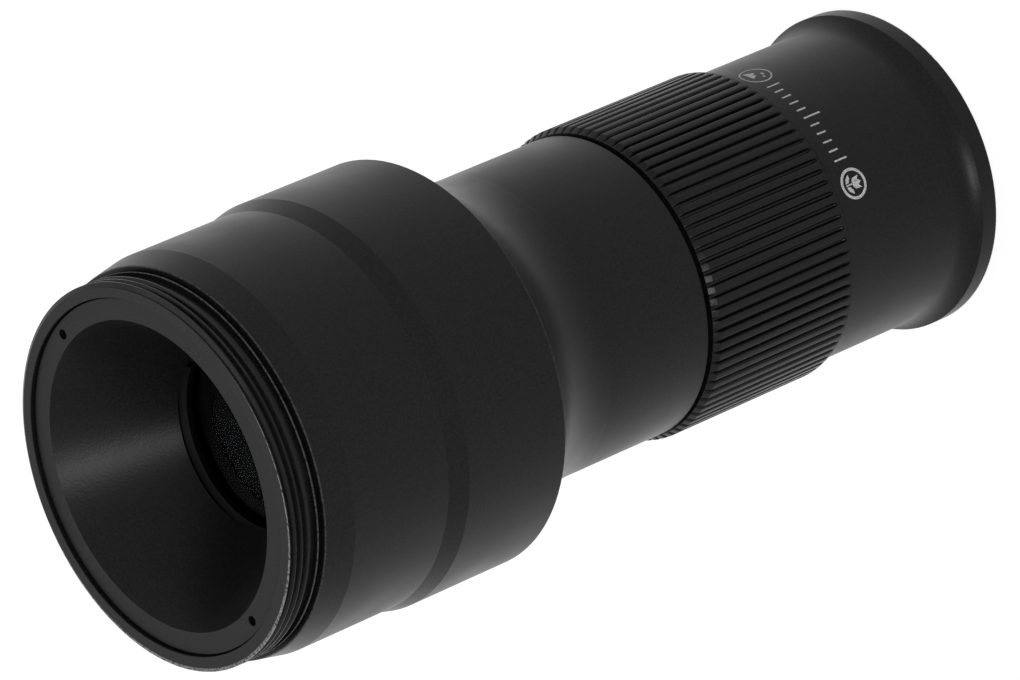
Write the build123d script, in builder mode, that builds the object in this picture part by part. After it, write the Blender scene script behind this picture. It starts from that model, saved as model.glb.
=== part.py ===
from build123d import *
import os
from math import asin, cos, radians, sin, sqrt, tan

os.makedirs("parts", exist_ok=True)

# Afocal telephoto attachment for a phone camera, in millimetres.
# It stands on its flared front rim: the origin is the centre of that rim's face,
# and +Z follows the optical axis up to the eye end, where the phone clip screws on.
# The mount thread is a standard size. Every other radius is set out from it by a
# wall, a step or a clearance, and every height is stacked up from the front rim.

# Clearances: sliding and turning fits, static seats, slots and glue lines
running_clearance = 0.05
seat_clearance = 0.02
slot_clearance = 0.05
glass_clearance = 0.03
cage_clearance = 0.1
cement_gap = 0.02
end_play = 0.05

# Mount ring: the screw thread for the phone clip and what lies beside it
mount_thread_r = 18.5
mount_thread_length = 2.2
mount_thread_chamfer = 0.15
thread_relief_depth = 0.5
thread_relief_length = 0.85
mount_flange_length = 0.2
mount_groove_depth = 0.6
mount_groove_length = 0.4
mount_spigot_wall = 1.28
mount_rim_width = 1.4

# Rear shell: neck, concave shoulder and the two wide bands
front_band_step = 0.95
rear_band_step = 0.5
rear_band_length = 11.9
band_step_length = 2.1
lead_in_step = 0.55
lead_in_length = 3.05
shell_edge_break = 0.1
shell_thread_step = 0.9
chamber_seat_width = 0.6
edge_break = 0.15
shoulder_arc_share = 0.8
shoulder_angle = 45.0
neck_length = 12.7
neck_step = 0.15
neck_edge_break = 0.25

# Front tube, from the rim to the focus ring
tube_inset = 3.65
tube_wall = 0.95
tube_lip_thickness = 0.4
tube_lip_inset = 0.6
tube_seat_length = 2.7
tube_edge_break = 0.2
flare_length = 4.5
flare_arc_r = 5.8
flare_angle = 35.5
rim_rounding = 0.3
hood_depth = 2.8
hood_mouth_step = 0.5
hood_chamfer_depth = 1.2

# Focus ring and the gaps beside it
ring_length = 18.15
ring_step = 0.71
ring_rear_gap = 0.3
ring_front_gap = 0.25
ring_chamfer_height = 0.45
ring_chamfer_length = 0.6
ring_front_collar = 0.35
ring_front_chamfer = 0.25
rib_count = 84
groove_top_width = 0.42
groove_bottom_width = 0.12
groove_depth = 0.42

# Focusing mechanism: fixed guide barrel, turning cam sleeve, sliding objective cell
focus_half_turn = 30.0
focus_half_travel = 1.6
stop_margin_angle = 0.4
follower_count = 3
follower_angle = 30.0
guide_inset = 0.9
guide_wall = 1.0
guide_collar_height = 0.4
guide_spigot_length = 8.15
cam_wall = 0.95
key_width = 3.0
key_length = 1.4
key_clearance = 0.15
washer_thickness = 0.2
washer_inner_gap = 0.1
washer_overlap = 0.15
pin_shank_r = 0.55
pin_stud_step = 0.23
pin_head_step = 0.3
pin_head_height = 0.2
roller_wall = 0.42

# Objective cell, its doublet and its retainer
cell_stop_clearance = 0.15
cell_cup_length = 9.6
cell_cup_wall = 0.92
cell_sleeve_wall = 1.05
cell_tail_length = 7.2
cell_funnel_length = 2.2
cell_aperture_step = 0.6
objective_recess = 0.48
objective_bevel = 0.7
objective_crown_edge = 1.6
objective_front_sag = 1.1
objective_cement_sag = 1.4
objective_flint_edge = 2.6
objective_rear_sag = 0.3
objective_retainer_length = 1.1
objective_retainer_slot = 1.0
retainer_slot_depth = 0.5

# Roof prism pair, its cage, its clamp and their screws
cage_gap = 1.8
cage_step = 0.2
cage_flange_thickness = 2.0
cage_flange_drop = 0.6
prism_margin = 1.2
prism_start = 2.45
prism_gap = 0.1
prism_bevel = 0.3
prism_bend = 45.0
first_screw_angle = 90.0
cage_screw_count = 3
cage_screw_r = 0.8
cage_screw_length = 4.8
cage_screw_head_r = 1.4
cage_screw_head_height = 1.0
clamp_inset = 0.3
clamp_thickness = 0.6
clamp_opening_step = 0.2
clamp_screw_count = 2
clamp_screw_r = 0.5
clamp_screw_length = 3.0
clamp_screw_head_r = 0.9
clamp_screw_head_height = 0.5
stack_gap = 0.2

# Eyepiece: housing, lens stack, retainer and field stop
eyepiece_flange_thickness = 2.0
eyepiece_top_above_flange = 1.9
eyepiece_wall = 2.05
eyepiece_lens_r = 9.93
eyepiece_bevel = 0.93
spacer_wall = 0.83
field_lens_edge = 1.4
field_lens_sag = 1.5
lower_spacer_length = 2.6
eye_flint_edge = 2.8
eye_flint_sag = 0.6
eye_cement_sag = 1.5
eye_crown_edge = 0.8
eye_crown_sag = 1.0
eye_vertex_gap = 0.18
eye_lens_edge = 1.8
eye_lens_low_sag = 1.2
eye_lens_high_sag = 0.3
eye_retainer_length = 1.1
eye_retainer_step = 0.65
eye_retainer_width = 1.4
eye_retainer_bevel = 0.5
eye_retainer_slot = 0.8
eye_retainer_recess = 0.4
lens_ledge_thickness = 1.6
stop_ring_inset = 0.55
stop_thickness = 0.8
stop_recess = 1.1
stop_width = 2.9

# Conical eye shade with its two spanner holes
cone_recess = 0.4
cone_depth = 10.4
cone_gap = 0.3
cone_face_width = 2.2
cone_wall = 1.1
cone_flange_thickness = 1.5
cone_edge_break = 0.15
spanner_hole_r = 0.5
spanner_hole_depth = 1.1
spanner_hole_inset = 1.05
spanner_angle = -10.7

# Radii of the shell and the mount ring, set out from the thread
front_band_r = mount_thread_r + front_band_step
rear_band_r = front_band_r + rear_band_step
lead_in_r = front_band_r - lead_in_step
shell_thread_r = mount_thread_r - shell_thread_step
spigot_r = shell_thread_r - seat_clearance
chamber_bore_r = shell_thread_r - chamber_seat_width
cone_seat_r = mount_thread_r - mount_rim_width

# Radii of the slim half: tube, ring, neck and the mechanism inside them
tube_r = mount_thread_r - tube_inset
tube_bore_r = tube_r - tube_wall
neck_r = tube_r + neck_step
ring_r = tube_r + ring_step
guide_barrel_r = tube_bore_r - guide_inset
guide_bore_r = guide_barrel_r - guide_wall
guide_collar_r = guide_barrel_r + guide_collar_height
tube_seat_r = guide_collar_r + seat_clearance
sleeve_bore_r = guide_barrel_r + running_clearance
cam_sleeve_r = sleeve_bore_r + cam_wall
ring_bore_r = cam_sleeve_r + seat_clearance
cell_cup_r = tube_bore_r - running_clearance
cell_cup_bore_r = cell_cup_r - cell_cup_wall
cell_sleeve_r = guide_bore_r - running_clearance
cell_sleeve_bore_r = cell_sleeve_r - cell_sleeve_wall
cell_aperture_r = cell_cup_bore_r - cell_aperture_step
objective_r = cell_cup_bore_r - glass_clearance
objective_cap_r = objective_r - objective_bevel

# Followers: the roller spans both walls, and its pin's head stays under the ring
roller_bore_r = pin_shank_r + glass_clearance
roller_r = roller_bore_r + roller_wall
slot_width = 2 * (roller_r + slot_clearance)
pin_head_end_r = cam_sleeve_r - slot_clearance
pin_head_start_r = pin_head_end_r - pin_head_height
roller_start_r = guide_bore_r + seat_clearance
roller_length = pin_head_start_r - seat_clearance - roller_start_r

# Radii of the prism cage and the eyepiece
cage_r = guide_barrel_r + cage_step
cage_flange_r = chamber_bore_r - slot_clearance
cage_screw_circle_r = (cage_r + cage_flange_r) / 2
prism_aperture = cage_r - prism_margin
half_aperture = prism_aperture / 2
diagonal = prism_aperture / sqrt(2)
prism_run = half_aperture + diagonal
pocket_width = prism_aperture + 2 * slot_clearance
clamp_screw_offset = (pocket_width / 2 + cage_r) / 2
eyepiece_cap_r = eyepiece_lens_r - eyepiece_bevel
eyepiece_bore_r = eyepiece_lens_r + seat_clearance
eyepiece_body_r = eyepiece_bore_r + eyepiece_wall
stop_ring_r = eyepiece_bore_r - stop_ring_inset
eye_retainer_r = eyepiece_bore_r + eye_retainer_step
eye_retainer_bore_r = eye_retainer_r - eye_retainer_width
cone_throat_r = eyepiece_cap_r
cone_mouth_r = cone_seat_r - cone_face_width

# Heights from the front rim up to the neck
cell_front_z = hood_depth + focus_half_travel
cup_rear_z = cell_front_z + cell_cup_length
tube_lip_z = cup_rear_z + focus_half_travel + cell_stop_clearance
tube_seat_z = tube_lip_z + tube_lip_thickness
tube_rear_z = tube_seat_z + tube_seat_length
ring_front_z = tube_rear_z + ring_front_gap
ring_rear_z = ring_front_z + ring_length
neck_front_z = ring_rear_z + ring_rear_gap
follower_z = (ring_front_z + ring_rear_z) / 2
sleeve_rear_z = neck_front_z - washer_thickness - end_play
spigot_end_z = neck_front_z + guide_spigot_length

# Heights of the objective stack, which seats against the cell's shoulder
retainer_front_z = cell_front_z + objective_recess
crown_low_z = retainer_front_z + objective_retainer_length
crown_high_z = crown_low_z + objective_crown_edge
flint_low_z = crown_high_z + cement_gap
cell_shoulder_z = flint_low_z + objective_flint_edge
cell_rear_z = follower_z + cell_tail_length

# Heights of the prism cage, on which the clamp and the eyepiece follow
cage_low_z = spigot_end_z + cage_gap
prism_z = cage_low_z + prism_start
roof_start_z = prism_z + prism_gap * sqrt(2)
cage_top_z = roof_start_z + prism_run + seat_clearance
cage_flange_z = cage_top_z - cage_flange_drop
cage_seat_z = cage_flange_z - cage_flange_thickness
housing_low_z = cage_top_z + clamp_thickness + clamp_screw_head_height + stack_gap
ledge_low_z = housing_low_z + stop_recess
ledge_z = ledge_low_z + lens_ledge_thickness
field_lens_high_z = ledge_z + field_lens_edge
eye_flint_low_z = field_lens_high_z + lower_spacer_length
eye_flint_high_z = eye_flint_low_z + eye_flint_edge
eye_crown_low_z = eye_flint_high_z + cement_gap
eye_crown_high_z = eye_crown_low_z + eye_crown_edge
eye_lens_low_z = eye_crown_high_z + eye_crown_sag + eye_vertex_gap + eye_lens_low_sag
eye_lens_high_z = eye_lens_low_z + eye_lens_edge
eye_retainer_high_z = eye_lens_high_z + eye_retainer_length
housing_top_z = eye_retainer_high_z + eye_retainer_recess
eyepiece_flange_z = housing_top_z - eyepiece_top_above_flange
eyepiece_seat_z = eyepiece_flange_z - eyepiece_flange_thickness

# Heights of the eye end, and back down the mount ring to the shell's front
cone_throat_z = housing_top_z + cone_gap
cone_face_z = cone_throat_z + cone_depth
rim_z = cone_face_z + cone_recess
thread_z = rim_z - mount_thread_chamfer - mount_thread_length
relief_z = thread_z - thread_relief_length
flange_z = relief_z - mount_flange_length
shell_front_z = flange_z - mount_groove_length
cone_seat_z = cone_face_z - cone_flange_thickness

# Heights up the outside of the shell; the front band fills what is left
shoulder_rise = rear_band_r - neck_r
shoulder_arc_rise = shoulder_arc_share * shoulder_rise
shoulder_arc_r = shoulder_arc_rise / (1 - cos(radians(shoulder_angle)))
shoulder_cone_run = (shoulder_rise - shoulder_arc_rise) / tan(radians(shoulder_angle))
neck_rear_z = neck_front_z + neck_length
rear_band_z = neck_rear_z + shoulder_arc_r * sin(radians(shoulder_angle)) + shoulder_cone_run
band_step_z = rear_band_z + rear_band_length
front_band_z = band_step_z + band_step_length
lead_in_z = shell_front_z - lead_in_length

# One radian of the ring moves the cell by cam_rate; the cam slots climb to match
cam_rate = focus_half_travel / radians(focus_half_turn)
cam_slot_half_angle = focus_half_turn + stop_margin_angle
cam_slot_rise = 2 * cam_rate * radians(cam_slot_half_angle)
cam_mid_r = (sleeve_bore_r + cam_sleeve_r) / 2
cam_slot_end_r = slot_width / 2 + slot_clearance
straight_run = 2 * focus_half_travel + 2 * slot_clearance
key_angle = follower_angle + 180 / follower_count


def follower_spots(radius):
    """Places of the followers, each with its own Z axis pointing outwards."""
    turns = [follower_angle + i * 360 / follower_count for i in range(follower_count)]
    outwards = Location((radius, 0, 0), (0, 90, 0))
    return Locations(*[Location((0, 0, follower_z), (0, 0, turn)) * outwards for turn in turns])


def rod(radius, length):
    """Round rod that starts at the current place and runs along its Z axis."""
    Cylinder(radius, length, align=(Align.CENTER, Align.CENTER, Align.MIN))


def bored(radius, length):
    """Round hole that starts at the current place and runs along its Z axis."""
    Cylinder(radius, length, align=(Align.CENTER, Align.CENTER, Align.MIN), mode=Mode.SUBTRACT)


def cap_arc(rim_r, edge_z, sag):
    """Half of a spherical lens face, drawn from the axis out to its rim."""
    sphere_r = (rim_r**2 + sag**2) / (2 * abs(sag))
    half_angle = asin(rim_r / sphere_r) / 2
    vertex_z = edge_z + sag
    side = 1 if sag > 0 else -1
    middle = (sphere_r * sin(half_angle), vertex_z - side * sphere_r * (1 - cos(half_angle)))
    return ThreePointArc((0, vertex_z), middle, (rim_r, edge_z))


def lens_face(rim_r, cap_r, low_z, high_z, low_sag, high_sag):
    """Half section of a lens with a ground flat round each face, where it seats."""
    with BuildLine(mode=Mode.PRIVATE) as outline:
        if low_sag:
            cap_arc(cap_r, low_z, low_sag)
        else:
            Line((0, low_z), (cap_r, low_z))
        Polyline((cap_r, low_z), (rim_r, low_z), (rim_r, high_z), (cap_r, high_z))
        if high_sag:
            cap_arc(cap_r, high_z, high_sag)
        else:
            Line((cap_r, high_z), (0, high_z))
        Line((0, low_z + low_sag), (0, high_z + high_sag))
    make_face(outline.edges())


def ring_face(inner_r, outer_r, low_z, high_z):
    """Half section of a plain ring."""
    Polygon((inner_r, low_z), (outer_r, low_z), (outer_r, high_z), (inner_r, high_z), align=None)


# Front tube: trumpet flare with a narrow round rim, an inner lip that stops the
# objective cell, and a threaded seat for the guide barrel behind it
with BuildPart() as front_tube:
    with BuildSketch(Plane.XZ):
        with BuildLine():
            side = Line((tube_r, tube_rear_z - tube_edge_break), (tube_r, flare_length))
            flare = JernArc(side @ 1, (0, -1), flare_arc_r, flare_angle)
            band = Line(flare @ 1, ((flare @ 1).X, rim_rounding))
            lip = JernArc(band @ 1, (0, -1), rim_rounding, -90)
            Polyline(
                lip @ 1,
                (tube_bore_r + hood_mouth_step, 0),
                (tube_bore_r, hood_chamfer_depth),
                (tube_bore_r, tube_lip_z),
                (guide_bore_r + tube_lip_inset, tube_lip_z),
                (guide_bore_r + tube_lip_inset, tube_seat_z),
                (tube_seat_r, tube_seat_z),
                (tube_seat_r, tube_rear_z),
                (tube_r - tube_edge_break, tube_rear_z),
                side @ 0,
            )
        make_face()
    revolve(axis=Axis.Z)
front_tube.part.label = "front_tube"
export_step(front_tube.part, "parts/front_tube.step")

# Guide barrel: threaded collar in the front tube, journal for the cam sleeve,
# spigot in the neck, and straight slots that keep the followers from turning
with BuildPart() as guide_barrel:
    with BuildSketch(Plane.XZ):
        with BuildLine():
            Polyline(
                (guide_bore_r, tube_seat_z),
                (guide_collar_r, tube_seat_z),
                (guide_collar_r, tube_rear_z),
                (guide_barrel_r, tube_rear_z),
                (guide_barrel_r, spigot_end_z),
                (guide_bore_r, spigot_end_z),
                close=True,
            )
        make_face()
    revolve(axis=Axis.Z)
    with follower_spots((guide_bore_r + guide_barrel_r) / 2):
        Box(straight_run, slot_width, 3 * guide_wall, mode=Mode.SUBTRACT)
        with Locations((-straight_run / 2, 0, 0), (straight_run / 2, 0, 0)):
            Cylinder(slot_width / 2, 3 * guide_wall, mode=Mode.SUBTRACT)
guide_barrel.part.label = "guide_barrel"
export_step(guide_barrel.part, "parts/guide_barrel.step")

# Cutter for one cam slot: a helical groove, with a relief hole at each end
with BuildPart() as cam_slot:
    with BuildLine() as track:
        Helix(360 * cam_slot_rise / (2 * cam_slot_half_angle), cam_slot_rise, cam_mid_r)
    with BuildSketch(Plane(track.line @ 0, x_dir=(1, 0, 0), z_dir=track.line % 0)):
        Rectangle(3 * cam_wall, slot_width)
    sweep(is_frenet=True)

# Cam sleeve: turns on the guide barrel, with one helical slot for each follower
# and notches in its front edge for the focus ring's keys
with BuildPart() as cam_sleeve:
    with BuildSketch(Plane.XZ):
        ring_face(sleeve_bore_r, cam_sleeve_r, ring_front_z, sleeve_rear_z)
    revolve(axis=Axis.Z)
    with PolarLocations(0, follower_count, follower_angle - cam_slot_half_angle):
        with Locations((0, 0, follower_z - cam_slot_rise / 2)):
            add(cam_slot.part, mode=Mode.SUBTRACT)
            for end_angle, end_z in ((0, 0), (2 * cam_slot_half_angle, cam_slot_rise)):
                with Locations(Location((0, 0, end_z), (0, 0, end_angle))):
                    with Locations(Location((cam_mid_r, 0, 0), (0, 90, 0))):
                        Cylinder(cam_slot_end_r, 3 * cam_wall, mode=Mode.SUBTRACT)
    with BuildSketch(Plane.XY.offset(ring_front_z)):
        with PolarLocations(cam_mid_r, follower_count, key_angle):
            Rectangle(3 * cam_wall, key_width + 2 * slot_clearance)
    extrude(amount=key_length + slot_clearance, mode=Mode.SUBTRACT)
cam_sleeve.part.label = "cam_sleeve"
export_step(cam_sleeve.part, "parts/cam_sleeve.step")

# Focus ring: cut all round with straight V grooves that leave a plain collar in
# front and run out through the rear chamfer, and keyed to the cam sleeve inside
with BuildPart() as focus_ring:
    with BuildSketch(Plane.XZ):
        with BuildLine():
            Polyline(
                (ring_bore_r, ring_front_z),
                (ring_r - ring_front_chamfer, ring_front_z),
                (ring_r, ring_front_z + ring_front_chamfer),
                (ring_r, ring_rear_z - ring_chamfer_length),
                (ring_r - ring_chamfer_height, ring_rear_z),
                (ring_bore_r, ring_rear_z),
                close=True,
            )
        make_face()
    revolve(axis=Axis.Z)
    groove_start_z = ring_front_z + ring_front_chamfer + ring_front_collar
    groove_flare = (groove_top_width - groove_bottom_width) / (2 * groove_depth)
    cut_top = groove_top_width / 2 + groove_flare * edge_break
    with BuildSketch(Plane.XY.offset(groove_start_z)):
        with PolarLocations(0, rib_count):
            Polygon(
                (ring_r - groove_depth, -groove_bottom_width / 2),
                (ring_r + edge_break, -cut_top),
                (ring_r + edge_break, cut_top),
                (ring_r - groove_depth, groove_bottom_width / 2),
                align=None,
            )
    extrude(amount=ring_rear_z - groove_start_z, mode=Mode.SUBTRACT)
    with BuildSketch(Plane.XY.offset(ring_front_z)):
        with PolarLocations(cam_mid_r, follower_count, key_angle):
            Rectangle(cam_wall + 2 * edge_break, key_width)
        Circle(guide_barrel_r + key_clearance, mode=Mode.SUBTRACT)
    extrude(amount=key_length)
focus_ring.part.label = "focus_ring"
export_step(focus_ring.part, "parts/focus_ring.step")

# Thin friction washers at both ends of the cam sleeve
washer_inner_r = guide_barrel_r + washer_inner_gap
washer_outer_r = cam_sleeve_r + washer_overlap
with BuildPart() as ring_washer_front:
    with BuildSketch(Plane.XZ):
        ring_face(washer_inner_r, washer_outer_r, tube_rear_z, tube_rear_z + washer_thickness)
    revolve(axis=Axis.Z)
ring_washer_front.part.label = "ring_washer_front"
export_step(ring_washer_front.part, "parts/ring_washer_front.step")

with BuildPart() as ring_washer_rear:
    with BuildSketch(Plane.XZ):
        ring_face(washer_inner_r, washer_outer_r, neck_front_z - washer_thickness, neck_front_z)
    revolve(axis=Axis.Z)
ring_washer_rear.part.label = "ring_washer_rear"
export_step(ring_washer_rear.part, "parts/ring_washer_rear.step")

# Rear shell, turned in one piece: neck, concave shoulder, wide rear band, conical
# step, front band and lead-in taper outside, and stepped bores for what it holds
spigot_bore_r = guide_barrel_r + seat_clearance
cage_bore_r = cage_r + cage_clearance
cage_hole_depth = cage_screw_length - cage_flange_thickness + slot_clearance
with BuildPart() as rear_shell:
    with BuildSketch(Plane.XZ):
        with BuildLine():
            neck = Polyline(
                (spigot_bore_r, neck_front_z),
                (neck_r - neck_edge_break, neck_front_z),
                (neck_r, neck_front_z + neck_edge_break),
                (neck_r, neck_rear_z),
            )
            shoulder = JernArc(neck @ 1, (0, 1), shoulder_arc_r, -shoulder_angle)
            Polyline(
                shoulder @ 1,
                (rear_band_r - edge_break, rear_band_z - edge_break),
                (rear_band_r, rear_band_z),
                (rear_band_r, band_step_z),
                (front_band_r, front_band_z),
                (front_band_r, lead_in_z),
                (lead_in_r, shell_front_z - shell_edge_break),
                (lead_in_r - shell_edge_break, shell_front_z),
                (shell_thread_r, shell_front_z),
                (shell_thread_r, eyepiece_seat_z),
                (chamber_bore_r, eyepiece_seat_z),
                (chamber_bore_r, cage_seat_z),
                (cage_bore_r, cage_seat_z),
                (cage_bore_r, spigot_end_z),
                (spigot_bore_r, spigot_end_z),
                neck @ 0,
            )
        make_face()
    revolve(axis=Axis.Z)
    with Locations((0, 0, cage_seat_z - cage_hole_depth)):
        with PolarLocations(cage_screw_circle_r, cage_screw_count, first_screw_angle):
            bored(cage_screw_r + seat_clearance, cage_hole_depth)
rear_shell.part.label = "rear_shell"
export_step(rear_shell.part, "parts/rear_shell.step")

# Mount ring: thread for the phone clip, relief, thin flange and groove outside,
# a spigot that screws into the shell and clamps the eyepiece, a seat for the cone
thread_relief_r = mount_thread_r - thread_relief_depth
mount_groove_r = mount_thread_r - mount_groove_depth
mount_bore_r = spigot_r - mount_spigot_wall
with BuildPart() as mount_ring:
    with BuildSketch(Plane.XZ):
        with BuildLine():
            Polyline(
                (cone_seat_r, rim_z),
                (mount_thread_r - mount_thread_chamfer, rim_z),
                (mount_thread_r, rim_z - mount_thread_chamfer),
                (mount_thread_r, thread_z),
                (thread_relief_r, thread_z),
                (thread_relief_r, relief_z),
                (mount_thread_r, relief_z),
                (mount_thread_r, flange_z),
                (mount_groove_r, flange_z),
                (mount_groove_r, shell_front_z),
                (spigot_r, shell_front_z),
                (spigot_r, eyepiece_flange_z),
                (mount_bore_r, eyepiece_flange_z),
                (mount_bore_r, cone_seat_z),
                (cone_seat_r, cone_seat_z),
                close=True,
            )
        make_face()
    revolve(axis=Axis.Z)
mount_ring.part.label = "mount_ring"
export_step(mount_ring.part, "parts/mount_ring.step")

# Cone ring: a thin funnel under a flat face with two spanner holes
cone_slope = (cone_mouth_r - cone_throat_r) / cone_depth
cone_skin = cone_wall * sqrt(1 + cone_slope**2)
cone_back_r = cone_mouth_r - cone_slope * cone_flange_thickness + cone_skin
cone_flange_r = cone_seat_r - seat_clearance
with BuildPart() as cone_ring:
    with BuildSketch(Plane.XZ):
        with BuildLine():
            Polyline(
                (cone_mouth_r, cone_face_z),
                (cone_flange_r - cone_edge_break, cone_face_z),
                (cone_flange_r, cone_face_z - cone_edge_break),
                (cone_flange_r, cone_seat_z),
                (cone_back_r, cone_seat_z),
                (cone_throat_r + cone_skin, cone_throat_z),
                (cone_throat_r, cone_throat_z),
                close=True,
            )
        make_face()
    revolve(axis=Axis.Z)
    with Locations((0, 0, cone_face_z - spanner_hole_depth)):
        with PolarLocations(cone_mouth_r + spanner_hole_inset, 2, spanner_angle):
            bored(spanner_hole_r, spanner_hole_depth)
cone_ring.part.label = "cone_ring"
export_step(cone_ring.part, "parts/cone_ring.step")

# Eyepiece housing: a flange clamped in the shell, and one bore for the lens stack
stop_bore_r = stop_ring_r + seat_clearance
retainer_bore_r = eye_retainer_r + seat_clearance
with BuildPart() as eyepiece_housing:
    with BuildSketch(Plane.XZ):
        with BuildLine():
            Polyline(
                (stop_bore_r, housing_low_z),
                (eyepiece_body_r, housing_low_z),
                (eyepiece_body_r, eyepiece_seat_z),
                (spigot_r, eyepiece_seat_z),
                (spigot_r, eyepiece_flange_z),
                (eyepiece_body_r, eyepiece_flange_z),
                (eyepiece_body_r, housing_top_z),
                (retainer_bore_r, housing_top_z),
                (retainer_bore_r, eye_lens_high_z),
                (eyepiece_bore_r, eye_lens_high_z),
                (eyepiece_bore_r, ledge_z),
                (eyepiece_cap_r, ledge_z),
                (eyepiece_cap_r, ledge_low_z),
                (stop_bore_r, ledge_low_z),
                close=True,
            )
        make_face()
    revolve(axis=Axis.Z)
eyepiece_housing.part.label = "eyepiece_housing"
export_step(eyepiece_housing.part, "parts/eyepiece_housing.step")

with BuildPart() as field_stop:
    with BuildSketch(Plane.XZ):
        ring_face(stop_ring_r - stop_width, stop_ring_r, ledge_low_z - stop_thickness, ledge_low_z)
    revolve(axis=Axis.Z)
field_stop.part.label = "field_stop"
export_step(field_stop.part, "parts/field_stop.step")

with BuildPart() as field_lens:
    with BuildSketch(Plane.XZ):
        lens_face(eyepiece_lens_r, eyepiece_cap_r, ledge_z, field_lens_high_z, -field_lens_sag, 0)
    revolve(axis=Axis.Z)
field_lens.part.label = "field_lens"
export_step(field_lens.part, "parts/field_lens.step")

spacer_bore_r = eyepiece_lens_r - spacer_wall
with BuildPart() as eyepiece_spacer_lower:
    with BuildSketch(Plane.XZ):
        ring_face(spacer_bore_r, eyepiece_lens_r, field_lens_high_z, eye_flint_low_z)
    revolve(axis=Axis.Z)
eyepiece_spacer_lower.part.label = "eyepiece_spacer_lower"
export_step(eyepiece_spacer_lower.part, "parts/eyepiece_spacer_lower.step")

with BuildPart() as eyepiece_flint:
    with BuildSketch(Plane.XZ):
        lens_face(
            eyepiece_lens_r,
            eyepiece_cap_r,
            eye_flint_low_z,
            eye_flint_high_z,
            eye_flint_sag,
            -eye_cement_sag,
        )
    revolve(axis=Axis.Z)
eyepiece_flint.part.label = "eyepiece_flint"
export_step(eyepiece_flint.part, "parts/eyepiece_flint.step")

with BuildPart() as eyepiece_crown:
    with BuildSketch(Plane.XZ):
        lens_face(
            eyepiece_lens_r,
            eyepiece_cap_r,
            eye_crown_low_z,
            eye_crown_high_z,
            -eye_cement_sag,
            eye_crown_sag,
        )
    revolve(axis=Axis.Z)
eyepiece_crown.part.label = "eyepiece_crown"
export_step(eyepiece_crown.part, "parts/eyepiece_crown.step")

with BuildPart() as eyepiece_spacer_upper:
    with BuildSketch(Plane.XZ):
        ring_face(spacer_bore_r, eyepiece_lens_r, eye_crown_high_z, eye_lens_low_z)
    revolve(axis=Axis.Z)
eyepiece_spacer_upper.part.label = "eyepiece_spacer_upper"
export_step(eyepiece_spacer_upper.part, "parts/eyepiece_spacer_upper.step")

with BuildPart() as eye_lens:
    with BuildSketch(Plane.XZ):
        lens_face(
            eyepiece_lens_r,
            eyepiece_cap_r,
            eye_lens_low_z,
            eye_lens_high_z,
            -eye_lens_low_sag,
            eye_lens_high_sag,
        )
    revolve(axis=Axis.Z)
eye_lens.part.label = "eye_lens"
export_step(eye_lens.part, "parts/eye_lens.step")

# Threaded retainer over the eye lens, bevelled inside, with two spanner slots
with BuildPart() as eyepiece_retainer:
    with BuildSketch(Plane.XZ):
        with BuildLine():
            Polyline(
                (eye_retainer_bore_r, eye_lens_high_z),
                (eye_retainer_r, eye_lens_high_z),
                (eye_retainer_r, eye_retainer_high_z),
                (eye_retainer_bore_r + eye_retainer_bevel, eye_retainer_high_z),
                (eye_retainer_bore_r, eye_retainer_high_z - eye_retainer_bevel),
                close=True,
            )
        make_face()
    revolve(axis=Axis.Z)
    with BuildSketch(Plane.XY.offset(eye_retainer_high_z)):
        Rectangle(3 * eye_retainer_r, eye_retainer_slot)
    extrude(amount=-retainer_slot_depth, mode=Mode.SUBTRACT)
eyepiece_retainer.part.label = "eyepiece_retainer"
export_step(eyepiece_retainer.part, "parts/eyepiece_retainer.step")

# Roof prism pair. The section is drawn with the beam along the axis: the first
# prism bends it by 45 degrees with two reflections, and the roof prism bends it
# back onto the axis with three, so the image comes out upright.
with BuildPart() as entrance_prism:
    with BuildSketch(Plane.XZ) as entrance_section:
        Polygon(
            (-half_aperture, prism_z),
            (half_aperture, prism_z),
            (2 * diagonal - half_aperture, prism_z + prism_aperture),
            (diagonal, prism_z + prism_run),
            align=None,
        )
        chamfer(entrance_section.vertices(), prism_bevel)
    extrude(amount=half_aperture, both=True)
entrance_prism.part.label = "entrance_prism"
export_step(entrance_prism.part, "parts/entrance_prism.step")

roof_tilt = radians(prism_bend / 2)
roof_plane = Plane(
    origin=(-half_aperture, 0, roof_start_z),
    x_dir=(0, 1, 0),
    z_dir=(-sin(roof_tilt), 0, cos(roof_tilt)),
)
with BuildPart() as roof_prism:
    with BuildSketch(Plane.XZ) as roof_section:
        Polygon(
            (-half_aperture, roof_start_z),
            (diagonal, roof_start_z + prism_run),
            (-prism_aperture, roof_start_z + prism_run),
            align=None,
        )
        chamfer(roof_section.vertices(), prism_bevel)
    extrude(amount=half_aperture, both=True)
    with BuildSketch(roof_plane):
        Polygon(
            (0, 0),
            (prism_aperture, -prism_aperture),
            (prism_aperture, half_aperture),
            (-prism_aperture, half_aperture),
            (-prism_aperture, -prism_aperture),
            align=None,
        )
    extrude(amount=2 * prism_aperture, both=True, mode=Mode.SUBTRACT)
roof_prism.part.label = "roof_prism"
export_step(roof_prism.part, "parts/roof_prism.step")

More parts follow.
